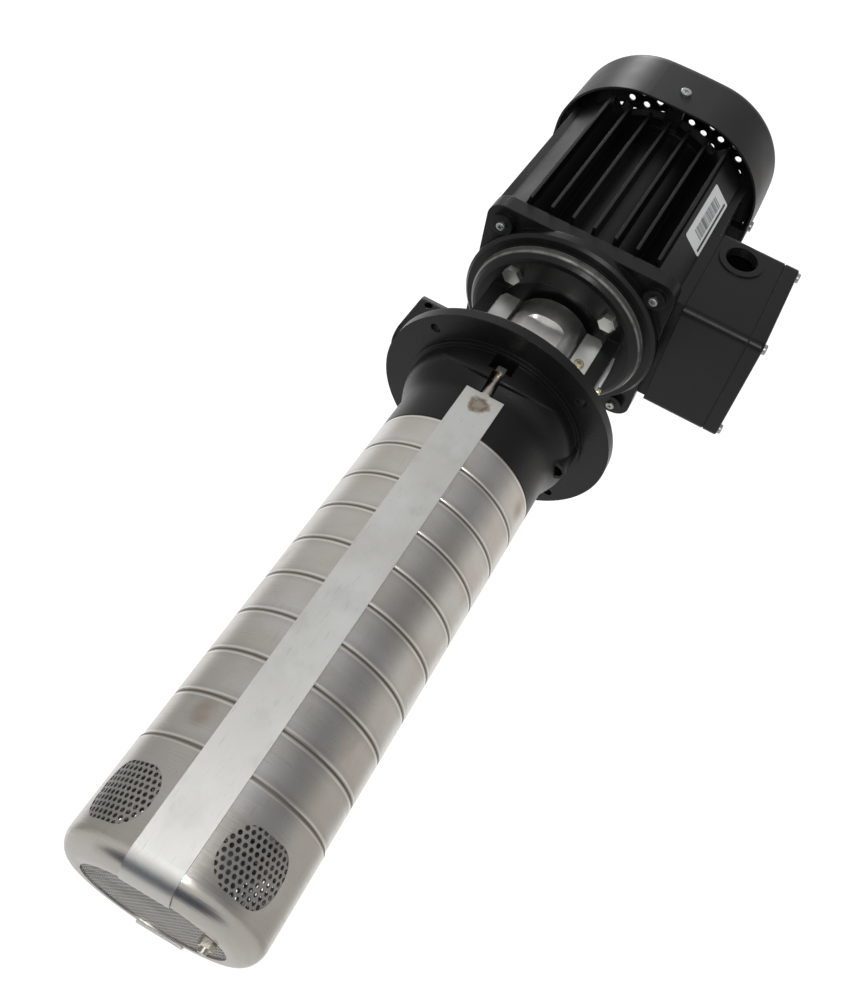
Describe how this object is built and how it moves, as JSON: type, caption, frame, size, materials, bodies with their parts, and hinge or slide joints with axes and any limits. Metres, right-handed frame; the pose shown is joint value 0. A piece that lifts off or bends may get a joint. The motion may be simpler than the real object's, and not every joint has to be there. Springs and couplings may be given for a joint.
{
  "type": "vertical multistage pump",
  "caption": "Immersible multistage pump: a motor on a stool above a round tank flange drives a long chamber stack with a suction strainer below.",
  "frame": {"origin": "centre of the mounting flange at its lower, seating face", "axes": "+Z along the shaft towards the motor, -Y towards the front strap, +X towards the terminal box"},
  "size_m": [0.2562, 0.2012, 0.7477],
  "materials": {
    "cast_black": "satin black paint over castings",
    "box_black": "satin black paint over die casting",
    "cover_black": "satin dark grey paint on sheet",
    "stainless_sheet": "satin pressed stainless sheet",
    "strap_steel": "satin stainless strip",
    "screen_steel": "perforated stainless sheet",
    "stainless_turned": "machined stainless",
    "zinc_steel": "zinc plated",
    "bracket_steel": "bright stainless sheet",
    "coupling_alloy": "turned and milled",
    "bearing_steel": "ground",
    "laminations": "stacked sheet",
    "copper_wire": "enamelled wire",
    "seal_carbide": "lapped",
    "rubber_black": "matte",
    "fan_plastic": "moulded",
    "board_plastic": "moulded",
    "brass_stud": "turned"
  },
  "bodies": {
    "pump_frame": {"bearing_holder": "stainless_turned", "bearing_outer_rings": "bearing_steel", "bottom_screen": "screen_steel", "bottom_screws": "stainless_turned", "chamber_1": "stainless_sheet", "chamber_2": "stainless_sheet", "chamber_3": "stainless_sheet", "chamber_4": "stainless_sheet", "chamber_5": "stainless_sheet", "chamber_6": "stainless_sheet", "chamber_7": "stainless_sheet", "chamber_8": "stainless_sheet", "chamber_9": "stainless_sheet", "corner_screws": "zinc_steel", "fan_cover": "cover_black", "fan_cover_screws": "zinc_steel", "guard_brackets": "bracket_steel", "guard_screws": "zinc_steel", "lid_screws": "zinc_steel", "lower_bush": "seal_carbide", "motor_end_shield": "cast_black", "pump_head": "cast_black", "rear_end_shield": "cast_black", "seal_seat": "seal_carbide", "side_screen": "screen_steel", "stator_core": "laminations", "stator_housing": "cast_black", "stator_windings": "copper_wire", "stool_bolts": "zinc_steel", "strainer_housing": "stainless_sheet", "strap_front": "strap_steel", "strap_nuts": "stainless_turned", "strap_rear": "strap_steel", "strap_studs": "stainless_turned", "strap_washers": "stainless_turned", "terminal_board": "board_plastic", "terminal_box": "box_black", "terminal_box_gasket": "rubber_black", "terminal_box_lid": "box_black", "terminals": "brass_stud"},
    "rotor": {"bearing_inner_rings": "bearing_steel", "coupling_front": "coupling_alloy", "coupling_pin": "stainless_turned", "coupling_rear": "coupling_alloy", "coupling_screws": "zinc_steel", "fan": "fan_plastic", "impeller_1": "stainless_turned", "impeller_2": "stainless_turned", "impeller_3": "stainless_turned", "impeller_4": "stainless_turned", "impeller_5": "stainless_turned", "impeller_6": "stainless_turned", "impeller_7": "stainless_turned", "impeller_8": "stainless_turned", "impeller_9": "stainless_turned", "motor_shaft": "bearing_steel", "pump_shaft": "stainless_turned", "rotor_core": "laminations", "seal_rotor": "stainless_turned"}
  },
  "joints": [
    {"name": "shaft_spin", "type": "hinge", "parent": "pump_frame", "child": "rotor", "pos_m": [0, 0, 0], "axis": [0, 0, 1], "continuous": true}
  ]
}
